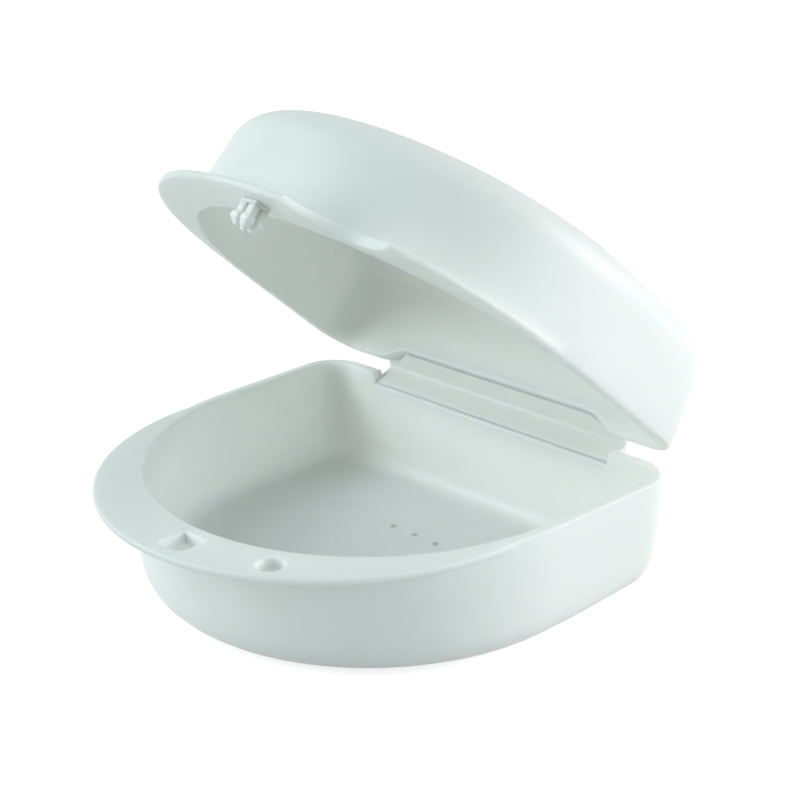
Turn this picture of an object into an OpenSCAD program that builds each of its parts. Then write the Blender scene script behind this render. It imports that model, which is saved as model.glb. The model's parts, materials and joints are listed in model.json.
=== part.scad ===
// Orthodontic retainer case: a D-shaped tray and a domed lid joined by a thin flexing web,
// closed by a split snap peg that enters a square window. Shown with the lid part open.
// Millimetres, +Z up, origin on the flat underside below the centre of the front curve.

/* [Plan outline] */
// Outer radius of the front curve at the rim
front_r = 39.6; // [30:0.1:50]
// Outer radius of the two back corners at the rim
corner_r = 7.1; // [6.8:0.1:10]
// Overall width across the back corners
back_w = 80.4; // [66:0.2:100]
// Distance from the front curve's centre to the outer back face
back_y = 27; // [20:0.2:36]

/* [Walls] */
// Wall thickness of the tray and the lid
wall = 2.1; // [1.2:0.1:2.4]
// Height of the tray from the table to its rim
tray_h = 19.8; // [17:0.2:30]
// Height of the lid dome above its rim
lid_h = 19; // [15:0.2:30]
// Outer radius where the walls turn into the floor
turn_r = 6; // [4:0.2:6.2]
// Lean of the tray walls
tray_draft = 3; // [1:0.1:5]
// Lean of the lid walls
lid_draft = 4.8; // [1:0.1:5]
// Upright band below each rim
band_h = 3.2; // [2.8:0.1:4.5]
// Step between the straight and the round walls
seam = 0.08; // [0.06:0.01:0.15]

/* [Front flange] */
// Radius of the flange's outer edge
flange_r = 38.6; // [30:0.1:49]
// How far the flange's centre lies in front of the curve's centre
flange_shift = 8.4; // [7:0.1:11]
// Thickness of both flanges
flange_t = 1.2; // [1:0.1:2.4]

/* [Hinge] */
// Length of the flexing web along the back
hinge_w = 55; // [30:1:64]
// Distance of the fold lines behind the outer back face
fold_out = 1.8; // [1.5:0.1:3]
// Depth of the cut in both rims in front of the web
relief_d = 1.5; // [1:0.1:2]
// Thickness of the ledges that carry the web
ledge_t = 0.8; // [0.6:0.1:1.2]
// Thickness of the web between its fold lines
web_t = 0.5; // [0.4:0.05:0.8]
// Radius of the rolled web edge on each fold line
fold_r = 0.4; // [0.3:0.05:0.5]
// Space between a rolled web edge and its ledge
fold_gap = 0.25; // [0.2:0.05:0.4]
// Space between the two rims with the lid shut
rim_gap = 0.3; // [0.2:0.05:0.6]
// Lid angle that is drawn, shut is 0
open_angle = 40.6; // [0:0.1:120]

/* [Snap] */
// Distance of the snap from the middle line
snap_x = 3.4; // [0:0.1:5]
// Side of the square window in the tray flange
window = 4.6; // [4.2:0.1:5]
// Space around the snap peg in the window
snap_gap = 0.4; // [0.35:0.05:0.6]
// Length of the snap peg below the lid's rim
snap_len = 5.2; // [4:0.1:6.5]
// Width of the slots that split the peg
slot_w = 0.7; // [0.5:0.05:0.9]
// How far each finger's head stands out past its stem
barb = 0.35; // [0.2:0.05:0.5]
// Height of the solid root of the peg
root_h = 0.8; // [0.5:0.1:1.2]

/* [Flange details] */
// Distance of the cord hole from the middle line
cord_x = 18.3; // [14:0.1:21]
// Diameter of the cord hole in the tray flange
cord_d = 4.2; // [3:0.1:4.6]
// Flange left between the front wall and the holes and scallop beside it
hole_land = 0.35; // [0.3:0.05:0.8]
// Distance of the thumb scallop from the middle line
thumb_x = 16.6; // [15:0.1:20]
// Radius of the thumb scallop in the lid flange
thumb_r = 8.8; // [8:0.1:9.5]

/* [Vents] */
// Diameter of each air hole in the tray floor
vent_d = 1; // [0.8:0.1:2]
// Distance between neighbouring air holes
vent_pitch = 4.95; // [3:0.05:8]
// Number of air holes in the row
vent_n = 3; // [1:1:7]
// Distance of the row behind the front curve's centre
vent_y = 8; // [0:0.5:14]

/* [Hidden] */
$fn = 96;
corner_x = back_w / 2 - corner_r;
corner_y = back_y - corner_r;
side_angle = atan2(corner_y, corner_x)
    - acos((front_r - corner_r) / norm([corner_x, corner_y]));
front_span = 2 * (101 + ceil(side_angle));
fold_y = back_y + fold_out;
fold_drop = relief_d + ledge_t / 2;
fold_low = tray_h - fold_drop;
fold_span = 2 * fold_drop + rim_gap;
snap_y = -sqrt(pow(front_r + hole_land + window / 2, 2) - pow(snap_x, 2));
cord_y = -sqrt(pow(front_r + hole_land + cord_d / 2, 2) - pow(cord_x, 2));
thumb_y = -sqrt(pow(front_r + hole_land + thumb_r, 2) - pow(thumb_x, 2));
head_half = window / 2 - snap_gap;
stem_half = head_half - barb;
// Sub-part to draw

// Wall section from a corner's axis outwards: flat floor, round turn, leaning wall, upright band.
module wall_section(from, inset, low, top, turn, rim, lean) {
    r = corner_r - inset;
    lean_top = rim - band_h;
    turn_x = r - (turn + (lean_top - low - turn) * sin(lean)) / cos(lean);
    polygon([[from, low], [turn_x, low], [turn_x, low + turn],
        [turn_x + turn * cos(lean), low + turn - turn * sin(lean)],
        [r, lean_top], [r, top], [from, top]]);
    intersection() {
        translate([turn_x, low + turn]) circle(turn);
        translate([turn_x, low]) square([turn + 1, turn]);
    }
}

// Straight wall of the given length along +Y, proud of the round walls by the seam step.
module wall_run(length, inset, low, top, turn, rim, lean) {
    rotate([90, 0, 180]) mirror([1, 0, 0]) linear_extrude(length)
        translate([seam, 0]) wall_section(-corner_r, inset, low, top, turn, rim, lean);
}

// Round wall about the vertical axis, filled to its middle, centred on the -Y direction.
module wall_turn(span, reach, inset, low, top, turn, rim, lean) {
    rotate([0, 0, -90 - span / 2]) rotate_extrude(angle = span)
        translate([reach, 0]) wall_section(-reach, inset, low, top, turn, rim, lean);
}

// Solid block on the D-shaped plan, set in by the given distance from the outer wall.
module d_block(inset, low, top, turn, rim, lean) {
    reach = front_r - corner_r;
    side = reach * [cos(side_angle), sin(side_angle)];
    corner = [corner_x, corner_y];
    wall_turn(front_span, reach, inset, low, top, turn, rim, lean);
    for (hand = [0, 1]) mirror([hand, 0, 0]) {
        translate(corner) wall_turn(360, 0, inset, low, top, turn, rim, lean);
        translate(side) rotate([0, 0, side_angle])
            wall_run(norm(corner - side), inset, low, top, turn, rim, lean);
    }
    translate(corner) rotate([0, 0, 90]) wall_run(2 * corner_x, inset, low, top, turn, rim, lean);
    translate([0, 0, low]) linear_extrude(top - low)
        polygon([side, corner, [-corner.x, corner.y], [-side.x, side.y]]);
}

// Open shell of the given height, rim up, with a crescent flange at the front.
module shell(height, lean) {
    difference() {
        union() {
            d_block(0, 0, height + 2, turn_r, height, lean);
            translate([0, -flange_shift, height - flange_t]) rotate([0, 0, 170])
                rotate_extrude(angle = 200) square([flange_r, flange_t + 1]);
        }
        d_block(wall, wall, height + 3, turn_r - wall, height, lean);
        translate([-back_w, -back_w, height]) cube([2 * back_w, 2 * back_w, 5]);
        translate([-hinge_w / 2, back_y - 2 * wall, height - relief_d])
            cube([hinge_w, 4 * wall, relief_d + 1]);
    }
}

// Rib behind the back wall of a shell that carries one edge of the web.
module hinge_ledge(height) {
    translate([-hinge_w / 2, back_y + seam, height - relief_d - ledge_t])
        cube([hinge_w, fold_out - seam - fold_r - fold_gap, ledge_t]);
}

// Carries a lid piece, drawn rim up from its own floor, to its place on the part-open lid.
module on_lid() {
    translate([0, fold_y, fold_low]) rotate([-open_angle / 2, 0, 0])
        translate([0, 0, fold_span]) rotate([-open_angle / 2, 0, 0])
            translate([0, -fold_y, -fold_drop])
                mirror([0, 0, 1]) translate([0, 0, -lid_h]) children();
}

module base_tray() color("white") difference() {
    shell(tray_h, tray_draft);
    translate([snap_x - window / 2, snap_y - window / 2, tray_h - 2 * flange_t])
        cube([window, window, 3 * flange_t]);
    translate([cord_x, cord_y, tray_h - 2 * flange_t]) cylinder(3 * flange_t, cord_d / 2, cord_d / 2);
    for (i = [0 : vent_n - 1])
        translate([(i - (vent_n - 1) / 2) * vent_pitch, vent_y, -1])
            cylinder(wall + 2, vent_d / 2, vent_d / 2);
}

module base_hinge_ledge() color("white") hinge_ledge(tray_h);

module hinge_web() color("white") translate([-hinge_w / 2, fold_y, fold_low])
    rotate([-open_angle / 2, 0, 0]) rotate([90, 0, 90]) linear_extrude(hinge_w) {
        circle(fold_r);
        translate([0, fold_span]) circle(fold_r);
        translate([-web_t / 2, 0]) square([web_t, fold_span]);
    }

module lid_shell() color("white") on_lid() difference() {
    shell(lid_h, lid_draft);
    translate([thumb_x, thumb_y, lid_h - 2 * flange_t]) cylinder(3 * flange_t, thumb_r, thumb_r);
}

module lid_hinge_ledge() color("white") on_lid() hinge_ledge(lid_h);

// Solid foot of the snap peg on the lid flange.
module snap_root() color("white") on_lid()
    translate([snap_x - stem_half, snap_y - stem_half, lid_h])
        cube([2 * stem_half, 2 * stem_half, root_h]);

// Outline of one finger: upright stem, barbed head, tapered nose.
module finger_outline() {
    nose = head_half - 2 * barb;
    polygon([[slot_w / 2, root_h], [stem_half, root_h], [stem_half, snap_len * 0.5],
        [head_half, snap_len * 0.62], [head_half, snap_len * 0.75], [nose, snap_len],
        [slot_w / 2, snap_len]]);
}

// One quarter of the split peg, towards the given sides.
module finger(to_x, to_y) color("white") on_lid() translate([snap_x, snap_y, lid_h])
    mirror([to_x < 0 ? 1 : 0, 0, 0]) mirror([0, to_y < 0 ? 1 : 0, 0]) intersection() {
        rotate([90, 0, 0]) translate([0, 0, -window]) linear_extrude(window) finger_outline();
        rotate([90, 0, 90]) linear_extrude(window) finger_outline();
    }

module snap_finger_front_right() finger(1, -1);
module snap_finger_front_left() finger(-1, -1);
module snap_finger_back_right() finger(1, 1);
module snap_finger_back_left() finger(-1, 1);

base_tray();
base_hinge_ledge();
hinge_web();
lid_shell();
lid_hinge_ledge();
snap_root();
snap_finger_front_right();
snap_finger_front_left();
snap_finger_back_right();
snap_finger_back_left();
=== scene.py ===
"""Orthodontic retainer case: a moulded tray, a domed lid, the flexing web between them and a split snap peg."""

import json
import logging
import math
from dataclasses import dataclass, field
from enum import Enum

import bmesh
import bpy
from mathutils import Matrix, Vector

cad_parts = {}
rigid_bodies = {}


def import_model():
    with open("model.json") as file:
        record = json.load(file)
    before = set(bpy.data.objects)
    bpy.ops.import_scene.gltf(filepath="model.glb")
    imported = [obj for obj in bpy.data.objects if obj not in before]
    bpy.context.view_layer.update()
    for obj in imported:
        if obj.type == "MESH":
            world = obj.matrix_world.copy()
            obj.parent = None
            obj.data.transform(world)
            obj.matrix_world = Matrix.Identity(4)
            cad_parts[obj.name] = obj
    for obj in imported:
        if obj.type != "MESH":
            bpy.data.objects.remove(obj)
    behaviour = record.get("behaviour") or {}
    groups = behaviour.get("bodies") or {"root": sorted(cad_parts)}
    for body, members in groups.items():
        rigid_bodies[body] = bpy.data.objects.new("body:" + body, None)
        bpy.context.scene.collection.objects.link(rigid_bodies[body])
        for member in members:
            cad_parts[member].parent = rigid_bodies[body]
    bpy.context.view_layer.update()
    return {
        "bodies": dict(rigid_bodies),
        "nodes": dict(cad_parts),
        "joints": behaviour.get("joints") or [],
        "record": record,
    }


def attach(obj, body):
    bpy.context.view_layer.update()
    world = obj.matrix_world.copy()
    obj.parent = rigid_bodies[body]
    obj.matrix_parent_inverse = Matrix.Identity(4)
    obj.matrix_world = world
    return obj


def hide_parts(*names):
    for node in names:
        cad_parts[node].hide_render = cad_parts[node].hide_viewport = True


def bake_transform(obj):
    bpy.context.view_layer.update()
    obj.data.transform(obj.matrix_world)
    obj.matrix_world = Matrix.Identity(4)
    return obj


LOG = logging.getLogger("retainer_case")
MM = 0.001
# Points closer than this are welded into one, in metres.
WELD = 1e-7
# A point in space, in millimetres.
Point = tuple[float, float, float]


class Body(Enum):
    """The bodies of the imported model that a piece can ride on."""

    TRAY = "tray"
    WEB = "web"
    LID = "lid"


class Slot(Enum):
    """The record's material slots."""

    SHELL = "shell"
    WEB = "web"


def srgb(code: str) -> tuple[float, float, float, float]:
    """Turn an sRGB hex colour into linear light.

    Args:
        code: six hex digits, with or without a leading hash.

    Returns:
        Linear red, green, blue and an alpha of 1.
    """
    parts = [int(code.lstrip("#")[i : i + 2], 16) / 255 for i in (0, 2, 4)]
    # The two parts of the sRGB curve.
    linear = [c / 12.92 if c <= 0.04045 else ((c + 0.055) / 1.055) ** 2.4 for c in parts]
    return (*linear, 1.0)


def add_node(
    tree: bpy.types.NodeTree, kind: str, settings: dict | None = None, links: dict | None = None
) -> bpy.types.Node:
    """Add a node to a tree, set it up and link its inputs.

    Args:
        tree: the tree that gets the node.
        kind: the node's type name.
        settings: attributes by name, or input values by input name or number.
        links: output sockets by input name or number.

    Returns:
        The new node.
    """
    node = tree.nodes.new(kind)
    for key, value in (settings or {}).items():
        if isinstance(key, int) or key in node.inputs:
            node.inputs[key].default_value = value
        else:
            setattr(node, key, value)
    for key, socket in (links or {}).items():
        tree.links.new(socket, node.inputs[key])
    return node


@dataclass(frozen=True)
class MouldedPolypropylene:
    """White polypropylene straight from the mould.

    The mould's fine spark-eroded surface gives a satin sheen, and the plastic lets a little light in, so thin edges
    glow and corners look soft. The colour drifts slightly with the flow of the melt.
    """

    name: str
    depth_mm: float  # how far light wanders inside
    colour: str = "#FDFCF9"
    cloud: str = "#FAF9F5"
    roughness: float = 0.42
    ior: float = 1.49
    spread: tuple[float, float, float] = (1.0, 0.95, 0.85)  # red, green and blue, as parts of the depth
    cloud_mm: float = 14.0
    cloud_edges: tuple[float, float] = (0.35, 0.65)
    grain_mm: float = 0.35
    grain_depth_mm: float = 0.012
    grain_strength: float = 0.35
    grain_sheen: float = 0.05  # how far the grain moves the roughness up and down

    def build(self) -> bpy.types.Material:
        """Make the material.

        Returns:
            A node material on object coordinates.
        """
        material = bpy.data.materials.new(self.name)
        material.use_nodes = True
        tree = material.node_tree
        shader = tree.nodes["Principled BSDF"]
        shader.inputs["IOR"].default_value = self.ior
        shader.inputs["Subsurface Weight"].default_value = 1.0
        shader.inputs["Subsurface Radius"].default_value = self.spread
        shader.inputs["Subsurface Scale"].default_value = self.depth_mm * MM
        place = add_node(tree, "ShaderNodeTexCoord").outputs["Object"]
        # Clouds of slightly different white, about as wide as the flow marks in a thin wall.
        cloud = add_node(
            tree,
            "ShaderNodeTexNoise",
            {"Scale": 1 / (self.cloud_mm * MM), "Detail": 3.0, "Roughness": 0.55},
            {"Vector": place},
        )
        tint = add_node(tree, "ShaderNodeValToRGB", links={"Fac": cloud.outputs["Fac"]})
        for stop, edge, code in zip(tint.color_ramp.elements, self.cloud_edges, (self.cloud, self.colour)):
            stop.position, stop.color = edge, srgb(code)
        tree.links.new(tint.outputs["Color"], shader.inputs["Base Color"])
        # Spark-eroded grain, drawn coarser than the real 0.1 mm so that it shows.
        grain = add_node(
            tree,
            "ShaderNodeTexNoise",
            {"Scale": 1 / (self.grain_mm * MM), "Detail": 2.0, "Roughness": 0.5},
            {"Vector": place},
        )
        low, high = self.roughness - self.grain_sheen, self.roughness + self.grain_sheen
        rough = add_node(
            tree,
            "ShaderNodeMapRange",
            {"From Min": 0.3, "From Max": 0.7, "To Min": low, "To Max": high},
            {"Value": grain.outputs["Fac"]},
        )
        tree.links.new(rough.outputs["Result"], shader.inputs["Roughness"])
        bump = add_node(
            tree,
            "ShaderNodeBump",
            {"Strength": self.grain_strength, "Distance": self.grain_depth_mm * MM},
            {"Height": grain.outputs["Fac"]},
        )
        tree.links.new(bump.outputs["Normal"], shader.inputs["Normal"])
        return material


def loft(rings: list[list[Point]], place: Matrix | None = None) -> bmesh.types.BMesh:
    """Join closed rings of equal length with quads and cap both ends.

    Args:
        rings: points in millimetres, the same number in each ring.
        place: where the mesh goes, in metres, if it isn't drawn in place.

    Returns:
        A closed mesh in metres, facing outwards.
    """
    bm = bmesh.new()
    rows = [[bm.verts.new([c * MM for c in point]) for point in ring] for ring in rings]
    for low, high in zip(rows, rows[1:]):
        for i in range(len(low)):
            j = (i + 1) % len(low)
            bm.faces.new((low[i], high[i], high[j], low[j]))
    bm.faces.new(rows[0])
    bm.faces.new(list(reversed(rows[-1])))
    bmesh.ops.remove_doubles(bm, verts=bm.verts, dist=WELD)
    if place is not None:
        bm.transform(place)
    bmesh.ops.recalc_face_normals(bm, faces=bm.faces)
    return bm


def shade(obj: bpy.types.Object, sharp: float = 40.0) -> None:
    """Shade an object smooth, apart from edges sharper than the given angle in degrees."""
    obj.data.shade_smooth()
    obj.data.set_sharp_from_angle(angle=math.radians(sharp))


def make_object(name: str, bm: bmesh.types.BMesh, material: bpy.types.Material) -> bpy.types.Object:
    """Turn a mesh into a smooth-shaded object of the scene.

    Args:
        name: the object's name.
        bm: the mesh, freed here.
        material: its only material.

    Returns:
        The new object.
    """
    mesh = bpy.data.meshes.new(name)
    bm.to_mesh(mesh)
    bm.free()
    mesh.materials.append(material)
    obj = bpy.data.objects.new(name, mesh)
    shade(obj)
    bpy.context.scene.collection.objects.link(obj)
    return obj


def freeze(obj: bpy.types.Object) -> bpy.types.Object:
    """Apply all of an object's modifiers to its mesh.

    Args:
        obj: the object to settle.

    Returns:
        The same object, with a plain mesh.
    """
    bpy.context.view_layer.update()
    evaluated = obj.evaluated_get(bpy.context.evaluated_depsgraph_get())
    mesh = bpy.data.meshes.new_from_object(evaluated)
    obj.modifiers.clear()
    obj.data = mesh
    return obj


def ride(obj: bpy.types.Object, body: Body, slot: Slot, *nodes: str) -> bpy.types.Object:
    """Put a finished piece on its body in place of CAD nodes.

    Args:
        obj: the piece.
        body: the body it moves with.
        slot: the record slot it is finished from; not used.
        nodes: the CAD nodes it stands for.

    Returns:
        The same piece.
    """
    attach(obj, body.value)
    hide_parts(*nodes)
    LOG.info("%s: %d faces on %s", obj.name, len(obj.data.polygons), body.value)
    return obj


@dataclass(frozen=True)
class Circle:
    """A circle in plan, in millimetres."""

    x: float
    y: float
    r: float

    def crossings(self, point: Vector, normal: Vector) -> tuple[float, float] | None:
        """Where a straight line in plan meets the circle.

        Args:
            point: the start of the line.
            normal: its direction, of length 1.

        Returns:
            The distances to the near and the far crossing, or None where the line passes by.
        """
        away = point - Vector((self.x, self.y))
        middle = -away.dot(normal)
        root = middle * middle - away.dot(away) + self.r**2
        if root < 0:
            return None
        return middle - math.sqrt(root), middle + math.sqrt(root)


@dataclass(frozen=True)
class Station:
    """A place on the outline: the centre its inset shrinks to, the radius there and the outward angle."""

    centre: Vector
    radius: float
    angle: float

    @property
    def normal(self) -> Vector:
        """The outward normal."""
        return Vector((math.cos(self.angle), math.sin(self.angle)))

    def at(self, offset: float = 0.0) -> Vector:
        """The point that lies the given distance outside the outline."""
        return self.centre + self.normal * (self.radius + offset)

    def mirrored(self) -> "Station":
        """The same place on the other side of the middle line."""
        return Station(Vector((-self.centre.x, self.centre.y)), self.radius, math.pi - self.angle)


@dataclass
class Plan:
    """The D-shaped outline that the tray and the lid share, in millimetres."""

    front_r: float = 39.6
    corner_r: float = 7.1
    back_w: float = 80.4
    back_y: float = 27.0
    hinge_w: float = 55.0
    # Two close stations on either side of the hinge cut's end keep that end crisp.
    cut_near: float = 0.02
    cut_far: float = 0.3
    hinge_steps: int = 48
    land_steps: int = 7
    corner_steps: int = 24
    side_steps: int = 12
    front_steps: int = 240

    def corner_centre(self) -> tuple[float, float]:
        """The centre of the right back corner."""
        return self.back_w / 2 - self.corner_r, self.back_y - self.corner_r

    def stations(self) -> list[Station]:
        """Walk round the outline from the middle of the back, by the right, the front and the left.

        Returns:
            The stations in that order.
        """
        cx, cy = self.corner_centre()
        reach = self.front_r - self.corner_r
        lean = math.atan2(cy, cx) - math.acos(reach / math.hypot(cx, cy))
        edge = self.hinge_w / 2
        land = edge + self.cut_far
        xs = [edge * i / self.hinge_steps for i in range(1, self.hinge_steps)]
        xs += [edge - self.cut_far, edge - self.cut_near, edge + self.cut_near, land]
        xs += [land + (cx - land) * i / self.land_steps for i in range(1, self.land_steps)]
        right = [Station(Vector((x, cy)), self.corner_r, math.pi / 2) for x in xs]
        corner, turn = Vector((cx, cy)), lean - math.pi / 2
        for i in range(self.corner_steps + 1):
            right.append(Station(corner, self.corner_r, math.pi / 2 + turn * i / self.corner_steps))
        side = Vector((math.cos(lean), math.sin(lean))) * reach
        for i in range(1, self.side_steps):
            right.append(Station(corner.lerp(side, i / self.side_steps), self.corner_r, lean))
        middle, turn = Vector((0, 0)), -math.pi / 2 - lean
        for i in range(self.front_steps):
            right.append(Station(middle, self.front_r, lean + turn * i / self.front_steps))
        back = Station(Vector((0, cy)), self.corner_r, math.pi / 2)
        front = Station(middle, self.front_r, -math.pi / 2)
        return [back, *right, front, *(station.mirrored() for station in reversed(right))]


@dataclass
class Shell:
    """An open shell, rim up, with a crescent flange at the front, in millimetres and degrees."""

    height: float
    plan: Plan = field(default_factory=Plan)
    wall: float = 2.1
    turn_r: float = 6.0
    draft: float = 3.0
    band_h: float = 3.2
    edge_r: float = 0.45
    flange: Circle = Circle(0.0, -8.4, 38.6)
    flange_t: float = 1.2
    flange_slope: float = 0.1  # what the flange gains in thickness for each millimetre towards the wall
    flange_end: float = 0.2  # how far the normal may point back before the flange has ended
    root_ease: float = 0.35
    root_middle: tuple[float, float] = (0.1, 0.08)  # out and down from the eased corner under the flange
    scallop: Circle | None = None
    relief_d: float = 1.5
    relief_ease: float = 0.1
    relief_edge_r: float = 0.08
    relief_roll_r: float = 1.6
    straight_back: float = 0.99  # how far the normal has to point back where the rim is cut
    corner_pull: float = 1.5
    corner_reach: float = 22.0
    corner_h: float = 13.0
    turn_steps: int = 10
    lean_steps: int = 4
    edge_steps: int = 6

    def reach(self, station: Station) -> tuple[float, float]:
        """How far the flange stands out from the outer wall.

        Args:
            station: the place on the outline.

        Returns:
            The flange's width along the normal, and its width as if it had no scallop.
        """
        point, normal = station.at(), station.normal
        if normal.y > self.flange_end:
            return 0.0, 0.0
        edge = self.flange.crossings(point, normal)
        full = max(0.0, edge[1]) if edge else 0.0
        bite = self.scallop.crossings(point, normal) if self.scallop is not None else None
        if bite and full > 0 and bite[0] > 0:
            return min(full, bite[0]), full
        return full, full

    def relief(self, station: Station) -> float:
        """How much of the cut in the back rim there is at a place.

        Args:
            station: the place on the outline.

        Returns:
            0 outside the cut to 1 at its full depth.
        """
        if station.normal.y < self.straight_back:
            return 0.0
        inside = self.plan.hinge_w / 2 - abs(station.centre.x)
        part = min(1.0, max(0.0, inside / self.relief_ease))
        return part * part * (3 - 2 * part)

    def section(self, inset: float, low: float, turn: float) -> list[tuple[float, float]]:
        """The wall from the floor up to the upright band.

        Args:
            inset: distance in from the outer wall at the rim.
            low: height of the floor.
            turn: radius of the turn into the floor.

        Returns:
            Pairs of inset and height, from the floor up.
        """
        lean = math.radians(self.draft)
        top = self.height - self.band_h
        centre = inset + (turn + (top - low - turn) * math.sin(lean)) / math.cos(lean)
        angles = [(math.pi / 2 - lean) * i / self.turn_steps for i in range(self.turn_steps + 1)]
        out = [(centre - turn * math.sin(a), low + turn - turn * math.cos(a)) for a in angles]
        foot_inset, foot_z = out[-1]
        for i in range(1, self.lean_steps + 1):
            part = i / self.lean_steps
            out.append((foot_inset + (inset - foot_inset) * part, foot_z + (top - foot_z) * part))
        return out

    def pull(self, point: Vector, z: float) -> Vector:
        """How far the back corners draw in towards the floor, where the mould rounds them more.

        Args:
            point: a point on the outline.
            z: height above the floor's outside.

        Returns:
            The shift in plan.
        """
        if z >= self.corner_h:
            return Vector((0, 0))
        side = math.copysign(1.0, point.x)
        diagonal = Vector((side, 1)).normalized()
        cx, cy = self.plan.corner_centre()
        middle = Vector((side * cx, cy)) + diagonal * self.plan.corner_r
        near = max(0.0, 1 - ((point - middle).length / self.corner_reach) ** 2) ** 2
        return diagonal * (-self.corner_pull * near * (1 - z / self.corner_h) ** 2)

    def profile(self, station: Station) -> list[tuple[float, float]]:
        """The whole section of the wall at a place, with its flange and rim.

        Args:
            station: the place on the outline.

        Returns:
            Pairs of distance outside the outline and height, from the outside of the floor over the rim to the inside.
        """
        width, full = self.reach(station)
        cut = self.relief(station)
        top = self.height - self.relief_d * cut
        outer = self.edge_r + (self.relief_edge_r - self.edge_r) * cut
        inner = self.edge_r + (self.relief_roll_r - self.edge_r) * cut
        root_z = top - (self.flange_t + self.flange_slope * full)
        edge_z = top - (self.flange_t + self.flange_slope * (full - width))
        lip = max(width - outer, width / 2)
        quarter = [math.radians(90 * i / self.edge_steps) for i in range(self.edge_steps + 1)]
        arc = [(math.sin(a), math.cos(a)) for a in quarter]
        out = [(-inset, z) for inset, z in self.section(0.0, 0.0, self.turn_r)]
        out.append((0.0, root_z - self.root_ease))
        out.append((min(self.root_middle[0], width), root_z - self.root_middle[1]))
        out.append((min(self.root_ease, width / 2), root_z))
        out.append((lip, edge_z))
        out += [(lip + min(outer, width / 2) * s, edge_z + outer * (1 - c)) for s, c in arc[1:]]
        out += [(width - outer * (1 - c), top - outer * (1 - s)) for s, c in arc]
        out += [(-self.wall + inner * (1 - c), top - inner * (1 - s)) for s, c in reversed(arc)]
        inside = self.section(self.wall, self.wall, self.turn_r - self.wall)
        return out + [(-inset, z) for inset, z in reversed(inside)]

    def mesh(self, place: Matrix | None = None) -> bmesh.types.BMesh:
        """Skin the shell through the sections at all stations.

        Args:
            place: where the shell goes, in metres, if it isn't drawn in place.

        Returns:
            The closed shell, in metres.
        """
        stations = self.plan.stations()
        rings: list[list[Point]] = []
        for level in zip(*(self.profile(station) for station in stations)):
            ring = []
            for station, (offset, z) in zip(stations, level):
                spot = station.at(offset) + self.pull(station.at(), z)
                ring.append((spot.x, spot.y, z))
            rings.append(ring)
        return loft(rings, place)


@dataclass
class Hinge:
    """The two fold lines at the back and the lid's place when part open, in millimetres and degrees."""

    fold_y: float = 28.8
    fold_z: float = 17.9
    span: float = 4.1
    drop: float = 1.9
    open_angle: float = 40.6

    def lid_place(self, lid_h: float) -> Matrix:
        """Where a lid drawn rim up from its own floor goes.

        Args:
            lid_h: the lid's height.

        Returns:
            The transform, in metres.
        """
        half = Matrix.Rotation(math.radians(-self.open_angle / 2), 4, "X")
        flip = Matrix.Diagonal((1, 1, -1, 1))
        lower = Matrix.Translation((0, self.fold_y * MM, self.fold_z * MM))
        upper = Matrix.Translation((0, 0, self.span * MM))
        back = Matrix.Translation((0, -self.fold_y * MM, -self.drop * MM))
        return lower @ half @ upper @ half @ back @ flip @ Matrix.Translation((0, 0, -lid_h * MM))


@dataclass(frozen=True)
class FlangeHole:
    """A hole down through the flange with an eased upper edge, in millimetres.

    A power of 2 makes it round and a higher one squarer. The front right corner has a power of its own.
    """

    name: str
    x: float
    y: float
    width: float
    power: float = 2.0
    front_power: float = 2.0
    depth: float = 3.0
    ease: float = 0.3
    sides: int = 64

    def plug(self, top: float) -> bmesh.types.BMesh:
        """Make the plug that cuts the hole.

        Args:
            top: height of the flange's upper face.

        Returns:
            The plug's mesh.
        """
        steps = [(0.0, top - self.depth)]
        for a in (math.radians(turn) for turn in (90, 60, 30, 0)):
            steps.append((self.ease * (1 - math.sin(a)), top - self.ease * (1 - math.cos(a))))
        steps.append((2 * self.ease, top + self.ease))
        rings: list[list[Point]] = []
        for grow, z in steps:
            ring = []
            for a in (2 * math.pi * i / self.sides for i in range(self.sides)):
                c, s = math.cos(a), math.sin(a)
                k = self.front_power if c > 0 > s else self.power
                r = (self.width / 2 + grow) / (abs(c) ** k + abs(s) ** k) ** (1 / k)
                ring.append((self.x + r * c, self.y + r * s, z))
            rings.append(ring)
        return loft(rings)


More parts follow.
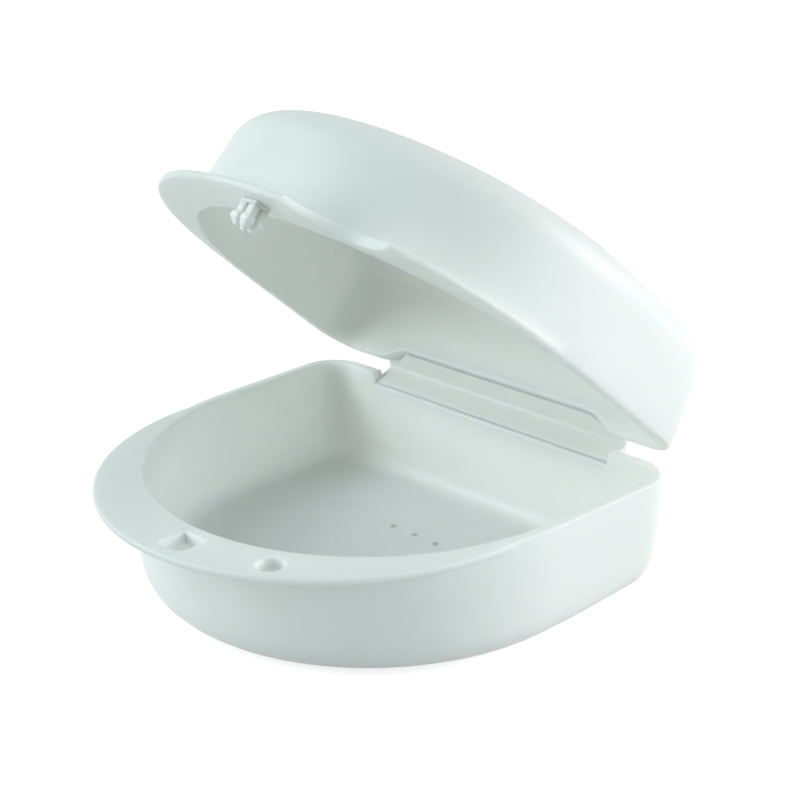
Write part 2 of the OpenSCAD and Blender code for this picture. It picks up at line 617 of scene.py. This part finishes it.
@dataclass(frozen=True)
class AirHoles:
    """A row of small air holes across the floor, in millimetres."""

    count: int = 3
    pitch: float = 4.95
    diameter: float = 1.15
    row_y: float = 8.0
    sides: int = 32

    def pins(self, length: float, material: bpy.types.Material) -> bpy.types.Object:
        """Make the row of pins that cut the holes, by geometry nodes.

        Args:
            length: length of a pin, half of which stands above the underside.
            material: what the pins, and so the holes' walls, are made of.

        Returns:
            The pins as one object.
        """
        sizes = {
            "Holes": self.count,
            "Pitch": self.pitch * MM,
            "Radius": self.diameter / 2 * MM,
            "Depth": length * MM,
            "Row Y": self.row_y * MM,
        }
        tree = bpy.data.node_groups.new("air_hole_row", "GeometryNodeTree")
        identifiers = {}
        for label, size in sizes.items():
            kind = "NodeSocketInt" if isinstance(size, int) else "NodeSocketFloat"
            identifiers[label] = tree.interface.new_socket(label, in_out="INPUT", socket_type=kind).identifier
        tree.interface.new_socket("Geometry", in_out="OUTPUT", socket_type="NodeSocketGeometry")
        given = add_node(tree, "NodeGroupInput").outputs
        # The row is centred on the middle line.
        gaps = add_node(tree, "ShaderNodeMath", {"operation": "SUBTRACT", 1: 1.0}, {0: given["Holes"]})
        width = add_node(tree, "ShaderNodeMath", {"operation": "MULTIPLY"}, {0: gaps.outputs[0], 1: given["Pitch"]})
        first = add_node(tree, "ShaderNodeMath", {"operation": "MULTIPLY", 1: -0.5}, {0: width.outputs[0]})
        start = add_node(tree, "ShaderNodeCombineXYZ", links={"X": first.outputs[0], "Y": given["Row Y"]})
        step = add_node(tree, "ShaderNodeCombineXYZ", links={"X": given["Pitch"]})
        row = add_node(
            tree,
            "GeometryNodeMeshLine",
            links={"Count": given["Holes"], "Start Location": start.outputs[0], "Offset": step.outputs[0]},
        )
        pin = add_node(
            tree,
            "GeometryNodeMeshCylinder",
            {"Vertices": self.sides},
            {"Radius": given["Radius"], "Depth": given["Depth"]},
        )
        pins = add_node(
            tree,
            "GeometryNodeInstanceOnPoints",
            links={"Points": row.outputs["Mesh"], "Instance": pin.outputs["Mesh"]},
        )
        real = add_node(tree, "GeometryNodeRealizeInstances", links={"Geometry": pins.outputs["Instances"]})
        dressed = add_node(
            tree, "GeometryNodeSetMaterial", {"Material": material}, {"Geometry": real.outputs["Geometry"]}
        )
        add_node(tree, "NodeGroupOutput", links={"Geometry": dressed.outputs["Geometry"]})
        cutter = bpy.data.objects.new("air_hole_pins", bpy.data.meshes.new("air_hole_pins"))
        bpy.context.scene.collection.objects.link(cutter)
        modifier = cutter.modifiers.new("row", "NODES")
        modifier.node_group = tree
        for label, size in sizes.items():
            modifier[identifiers[label]] = size
        return freeze(cutter)


@dataclass
class Tray:
    """The tray with its catch window, cord hole and air holes."""

    shell: Shell = field(default_factory=lambda: Shell(19.8))
    window: FlangeHole = FlangeHole("window_plug", 3.4, -42.113, 5.0, power=14.0, front_power=3.2)
    cord: FlangeHole = FlangeHole("cord_plug", 18.3, -37.859, 4.2)
    vents: AirHoles = AirHoles()
    pin_walls: float = 3.0  # length of the pins that cut the air holes, in wall thicknesses

    def build(self, material: bpy.types.Material, inside: bpy.types.Material) -> bpy.types.Object:
        """Make the tray.

        Args:
            material: the shell's material.
            inside: the material of the holes' walls.

        Returns:
            The tray, riding on its body.
        """
        tray = make_object("tray_moulding", self.shell.mesh(), material)
        plugs = [make_object(hole.name, hole.plug(self.shell.height), inside) for hole in (self.window, self.cord)]
        plugs.append(self.vents.pins(self.pin_walls * self.shell.wall, inside))
        for plug in plugs:
            cut = tray.modifiers.new(plug.name, "BOOLEAN")
            cut.operation, cut.solver, cut.object = "DIFFERENCE", "EXACT", plug
            # A hole's wall keeps the material of its plug.
            cut.material_mode = "TRANSFER"
        freeze(tray)
        for plug in plugs:
            bpy.data.objects.remove(plug)
        shade(tray)
        return ride(tray, Body.TRAY, Slot.SHELL, "base_tray")


@dataclass
class Lid:
    """The domed lid with its thumb scallop."""

    hinge: Hinge = field(default_factory=Hinge)
    shell: Shell = field(
        default_factory=lambda: Shell(19.0, draft=4.8, relief_ease=6.0, scallop=Circle(20.19, -44.375, 8.8))
    )

    def place(self) -> Matrix:
        """Where what is drawn on the upturned lid goes, in metres."""
        return self.hinge.lid_place(self.shell.height)

    def rim_place(self) -> Matrix:
        """The same, for what is drawn up from the lid's rim."""
        return self.place() @ Matrix.Translation((0, 0, self.shell.height * MM))

    def build(self, material: bpy.types.Material) -> bpy.types.Object:
        """Make the lid in its part-open place.

        Args:
            material: the shell's material.

        Returns:
            The lid, riding on its body.
        """
        lid = make_object("lid_moulding", self.shell.mesh(self.place()), material)
        return ride(lid, Body.LID, Slot.SHELL, "lid_shell")


@dataclass
class FoldLedge:
    """The ledge behind a shell's back wall, running on into the rolled edge of the web, in millimetres."""

    node: str
    body: Body
    shell: Shell
    fold_out: float = 1.8
    thick: float = 0.8
    fillet: float = 0.9
    fillet_steps: int = 6
    sink: float = 0.6  # how deep it starts inside the wall
    root_gap: float = 0.02
    edge_gap: float = 0.03
    end_ease: float = 0.12
    end_shrink: float = 0.06  # how much of its section each end loses
    core: float = 0.4  # where the middle of its section lies behind the wall

    def build(self, material: bpy.types.Material, place: Matrix | None = None) -> bpy.types.Object:
        """Make the ledge.

        Args:
            material: the ledge's material.
            place: where it goes, if it isn't drawn in place.

        Returns:
            The ledge, riding on its body.
        """
        back, top = self.shell.plan.back_y, self.shell.height - self.shell.relief_d
        low, out = top - self.thick, back + self.fold_out
        profile = [(back - self.sink, top - self.root_gap), (out, top - self.edge_gap), (out, low + self.edge_gap)]
        for a in (math.pi / 2 * i / self.fillet_steps for i in range(self.fillet_steps + 1)):
            profile.append((back + self.fillet * (1 - math.sin(a)), low - self.fillet * (1 - math.cos(a))))
        profile.append((back - self.sink, low - self.fillet))
        middle = Vector((back + self.core, top - self.thick / 2))
        end = self.shell.plan.hinge_w / 2
        full = end - self.end_ease
        rings: list[list[Point]] = []
        for x, shrink in ((-end, self.end_shrink), (-full, 0.0), (full, 0.0), (end, self.end_shrink)):
            row = [Vector(p).lerp(middle, shrink) for p in profile]
            rings.append([(x, p.x, p.y) for p in row])
        ledge = make_object(self.node + "_filleted", loft(rings, place), material)
        return ride(ledge, self.body, Slot.SHELL, self.node)


@dataclass
class FoldSkin:
    """The skin of the moulding at a fold line that fills the crease in front of the web, in millimetres.

    It is drawn at the tray's fold. The lid's fold is its mirror image across the middle of the web.
    """

    name: str
    bodies: tuple[Body, Body]
    rim: tuple[float, float] = (25.304, 17.754)
    rim_slope: float = 48.6  # degrees
    rim_run: float = 1.5
    web_run: float = 0.7
    climb: float = 2.05
    web_t: float = 0.5
    sink: float = 0.03
    thick: float = 0.15
    heel: float = 0.1  # how far above the fold line its back passes
    end_gap: float = 0.05
    steps: int = 18

    def build(self, plan: Plan, hinge: Hinge, material: bpy.types.Material) -> bpy.types.Object:
        """Make the skin at the fold between its two bodies.

        Args:
            plan: the outline that gives the web's length.
            hinge: the fold lines.
            material: the web's material.

        Returns:
            The skin.
        """
        lean, slope = math.radians(hinge.open_angle / 2), math.radians(self.rim_slope)
        up, out = Vector((math.sin(lean), math.cos(lean))), Vector((-math.cos(lean), math.sin(lean)))
        axis, rim = Vector((hinge.fold_y, hinge.fold_z)), Vector(self.rim)
        top = axis + up * self.climb + out * (self.web_t / 2 - self.sink)
        # A cubic curve leaves the rolled rim along its slope and meets the web along its face.
        leave, meet = rim + Vector((math.cos(slope), math.sin(slope))) * self.rim_run, top - up * self.web_run
        profile = []
        for t in (i / self.steps for i in range(self.steps + 1)):
            leaving = rim * (1 - t) ** 3 + leave * (3 * t * (1 - t) ** 2)
            profile.append(leaving + meet * (3 * t**2 * (1 - t)) + top * t**3)
        profile += [top - out * self.thick, axis + Vector((0, self.heel)), rim + Vector((self.thick, -self.thick))]
        if Body.LID in self.bodies:
            profile = [q + up * (hinge.span - 2 * (q - axis).dot(up)) for q in profile]
        half = plan.hinge_w / 2 - self.end_gap
        rings: list[list[Point]] = [[(x, q.x, q.y) for q in profile] for x in (-half, half)]
        piece = make_object(self.name, loft(rings), material)
        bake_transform(piece)
        LOG.info("%s: bends between %s and %s", self.name, self.bodies[0].value, self.bodies[1].value)
        return piece


@dataclass
class EasedPart:
    """A small CAD part shown with the eased edges of a moulding."""

    node: str
    body: Body
    slot: Slot
    edge_mm: float
    foot: Matrix | None = None
    shorten: float = 0.8
    weld_m: float = 2e-6
    flat_deg: float = 1.0
    eased_deg: float = 25.0
    sharp_deg: float = 35.0
    segments: int = 3

    def build(self, frame: dict, material: bpy.types.Material) -> bpy.types.Object:
        """Copy the part and ease its edges.

        Args:
            frame: the loaded frame.
            material: the part's material.

        Returns:
            The eased part, riding on its body.
        """
        bm = bmesh.new()
        bm.from_mesh(frame["nodes"][self.node].data)
        bmesh.ops.remove_doubles(bm, verts=bm.verts, dist=self.weld_m)
        bmesh.ops.dissolve_limit(bm, angle_limit=math.radians(self.flat_deg), verts=bm.verts, edges=bm.edges)
        if self.foot is not None:
            # The photographed peg is stubbier than its solid, measured from the lid's rim.
            bm.transform(self.foot @ Matrix.Diagonal((1, 1, self.shorten, 1)) @ self.foot.inverted())
        part = make_object(self.node + "_eased", bm, material)
        ease = part.modifiers.new("eased edges", "BEVEL")
        ease.width, ease.segments = self.edge_mm * MM, self.segments
        ease.limit_method, ease.angle_limit = "ANGLE", math.radians(self.eased_deg)
        freeze(part)
        shade(part, self.sharp_deg)
        return ride(part, self.body, self.slot, self.node)


@dataclass(frozen=True)
class Lamp:
    """A soft square lamp aimed at the case, in metres and watts."""

    name: str
    place: tuple[float, float, float]
    watts: float
    colour: str
    side: float = 0.4

    def build(self, target: Vector) -> None:
        """Hang the lamp and point it at the case.

        Args:
            target: the point it is aimed at.
        """
        data = bpy.data.lights.new(self.name, "AREA")
        data.shape, data.size = "SQUARE", self.side
        data.energy, data.color = self.watts, srgb(self.colour)[:3]
        lamp = bpy.data.objects.new(self.name, data)
        lamp.location = self.place
        lamp.rotation_euler = (target - Vector(self.place)).to_track_quat("-Z", "Y").to_euler()
        bpy.context.scene.collection.objects.link(lamp)


@dataclass
class Studio:
    """Floor, lamps, world and the camera at the photograph's viewing angle."""

    azimuth: float = 46.35
    elevation: float = 21.25
    roll: float = -1.305
    distance_mm: float = 291.4
    aim_mm: tuple[float, float, float] = (-13.82, 18.51, 19.8)
    focal_px: float = 1669.3
    image_px: float = 800.0
    sensor_mm: float = 36.0
    clip_m: tuple[float, float] = (0.005, 50.0)
    ambient: str = "#D0F8E4"
    ambient_strength: float = 0.22
    backdrop: str = "#FFFFFF"
    table: str = "#C8C8C8"
    table_roughness: float = 0.9
    table_r_m: float = 3.0
    table_sides: int = 96
    table_drop_m: float = 0.0002
    lift_near: tuple[float, float] = (0.1, 0.72)  # metres from the middle of the table, and how far it is lifted there
    lift_far: tuple[float, float] = (0.5, 1.0)
    lamp_aim_m: tuple[float, float, float] = (0.0, 0.0, 0.03)
    lamps: tuple[Lamp, ...] = (
        Lamp("key_back_right", (0.532, 0.532, 0.304), 3.45, "#FFF9F6"),
        Lamp("key_right", (0.749, 0.066, 0.304), 1.75, "#E4F3FB"),
        Lamp("front_left", (-0.452, -0.6, 0.304), 2.90, "#F0FAFC"),
        Lamp("high_left", (-0.455, -0.382, 0.565), 1.75, "#EAF6FA"),
    )

    def build_camera(self) -> None:
        """Place the camera where the photograph was taken from."""
        a, e, r = (math.radians(v) for v in (self.azimuth, self.elevation, self.roll))
        back = Vector((math.sin(a) * math.cos(e), -math.cos(a) * math.cos(e), math.sin(e)))
        right = Vector((math.cos(a), math.sin(a), 0))
        up = back.cross(right)
        x = right * math.cos(r) + up * math.sin(r)
        y = up * math.cos(r) - right * math.sin(r)
        data = bpy.data.cameras.new("camera")
        data.sensor_width = self.sensor_mm
        data.lens = self.sensor_mm * self.focal_px / self.image_px
        data.clip_start, data.clip_end = self.clip_m
        camera = bpy.data.objects.new("camera", data)
        camera.matrix_world = Matrix((x, y, back)).transposed().to_4x4()
        camera.matrix_world.translation = (Vector(self.aim_mm) + back * self.distance_mm) * MM
        bpy.context.scene.collection.objects.link(camera)
        bpy.context.scene.camera = camera

    @staticmethod
    def backdrop_rays(tree: bpy.types.NodeTree) -> bpy.types.NodeSocket:
        """Tell the rays that show the backdrop from those that only bring its light.

        Args:
            tree: the nodes of the world or of the table top.

        Returns:
            A socket that is 1 for a ray straight from the camera, off a gloss or through glass, and otherwise 0.
        """
        path = add_node(tree, "ShaderNodeLightPath").outputs
        shown = path["Is Camera Ray"]
        for label in ("Is Glossy Ray", "Is Transmission Ray"):
            shown = add_node(tree, "ShaderNodeMath", {"operation": "MAXIMUM"}, {0: shown, 1: path[label]}).outputs[0]
        return shown

    def build_world(self) -> None:
        """Even soft light all round, seen as white."""
        world = bpy.data.worlds.new("studio")
        world.use_nodes = True
        tree = world.node_tree
        tree.nodes.clear()
        shown = self.backdrop_rays(tree)
        light = add_node(
            tree, "ShaderNodeBackground", {"Color": srgb(self.ambient), "Strength": self.ambient_strength}
        )
        white = add_node(tree, "ShaderNodeBackground", {"Color": srgb(self.backdrop), "Strength": 1.0})
        mix = add_node(tree, "ShaderNodeMixShader", links={0: shown, 1: light.outputs[0], 2: white.outputs[0]})
        add_node(tree, "ShaderNodeOutputWorld", links={"Surface": mix.outputs[0]})
        bpy.context.scene.world = world

    def build_floor(self) -> None:
        """A plain pale table top, lifted to white where it is seen, that keeps the case's soft shadow."""
        bm = bmesh.new()
        bmesh.ops.create_circle(bm, cap_ends=True, segments=self.table_sides, radius=self.table_r_m)
        material = bpy.data.materials.new("white_table_laminate")
        material.use_nodes = True
        tree = material.node_tree
        shader = tree.nodes["Principled BSDF"]
        shader.inputs["Base Color"].default_value = srgb(self.table)
        shader.inputs["Roughness"].default_value = self.table_roughness
        # The lift is weaker round the case, so that its shadow stays, and full where the lamps' light runs out.
        place = add_node(tree, "ShaderNodeTexCoord").outputs["Object"]
        away = add_node(tree, "ShaderNodeVectorMath", {"operation": "LENGTH"}, {0: place})
        (near, low), (far, high) = self.lift_near, self.lift_far
        level = add_node(
            tree,
            "ShaderNodeMapRange",
            {"From Min": near, "From Max": far, "To Min": low, "To Max": high},
            {"Value": away.outputs["Value"]},
        )
        shown = self.backdrop_rays(tree)
        lift = add_node(tree, "ShaderNodeMath", {"operation": "MULTIPLY"}, {0: shown, 1: level.outputs["Result"]})
        glow = add_node(tree, "ShaderNodeEmission", {"Color": srgb(self.backdrop)}, {"Strength": lift.outputs[0]})
        both = add_node(tree, "ShaderNodeAddShader", links={0: shader.outputs[0], 1: glow.outputs[0]})
        tree.links.new(both.outputs[0], tree.nodes["Material Output"].inputs["Surface"])
        floor = make_object("table_top", bm, material)
        floor.location.z = -self.table_drop_m

    def build(self) -> None:
        """Set up everything round the case."""
        bpy.context.scene.view_settings.view_transform = "Standard"
        self.build_world()
        self.build_floor()
        for lamp in self.lamps:
            lamp.build(Vector(self.lamp_aim_m))
        self.build_camera()


def main() -> None:
    """Load the frame, build each sub-assembly and report it."""
    logging.basicConfig(level=logging.INFO, format="%(name)s: %(message)s")
    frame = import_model()
    # Light that wanders far in a small part comes out inside its neighbour and is lost, so it goes less deep there.
    white = MouldedPolypropylene("moulded_polypropylene_white", depth_mm=4.0).build()
    small = MouldedPolypropylene("moulded_polypropylene_small_parts", depth_mm=0.6).build()
    thin = MouldedPolypropylene(
        "thin_flexed_polypropylene", depth_mm=0.06, colour="#FCFCF9", cloud="#F8F8F5", roughness=0.4
    ).build()
    Studio().build()
    tray, lid = Tray(), Lid()
    tray.build(white, small)
    lid.build(white)
    FoldLedge("base_hinge_ledge", Body.TRAY, tray.shell).build(small)
    FoldLedge("lid_hinge_ledge", Body.LID, lid.shell).build(small, lid.place())
    EasedPart("hinge_web", Body.WEB, Slot.WEB, edge_mm=0.05).build(frame, thin)
    FoldSkin("tray_fold_skin", (Body.TRAY, Body.WEB)).build(tray.shell.plan, lid.hinge, thin)
    FoldSkin("lid_fold_skin", (Body.LID, Body.WEB)).build(tray.shell.plan, lid.hinge, thin)
    EasedPart("snap_root", Body.LID, Slot.SHELL, edge_mm=0.1, foot=lid.rim_place()).build(frame, small)
    for side in ("front_right", "front_left", "back_right", "back_left"):
        finger = EasedPart("snap_finger_" + side, Body.LID, Slot.SHELL, edge_mm=0.1, foot=lid.rim_place())
        finger.build(frame, small)


if __name__ == "__main__":
    main()
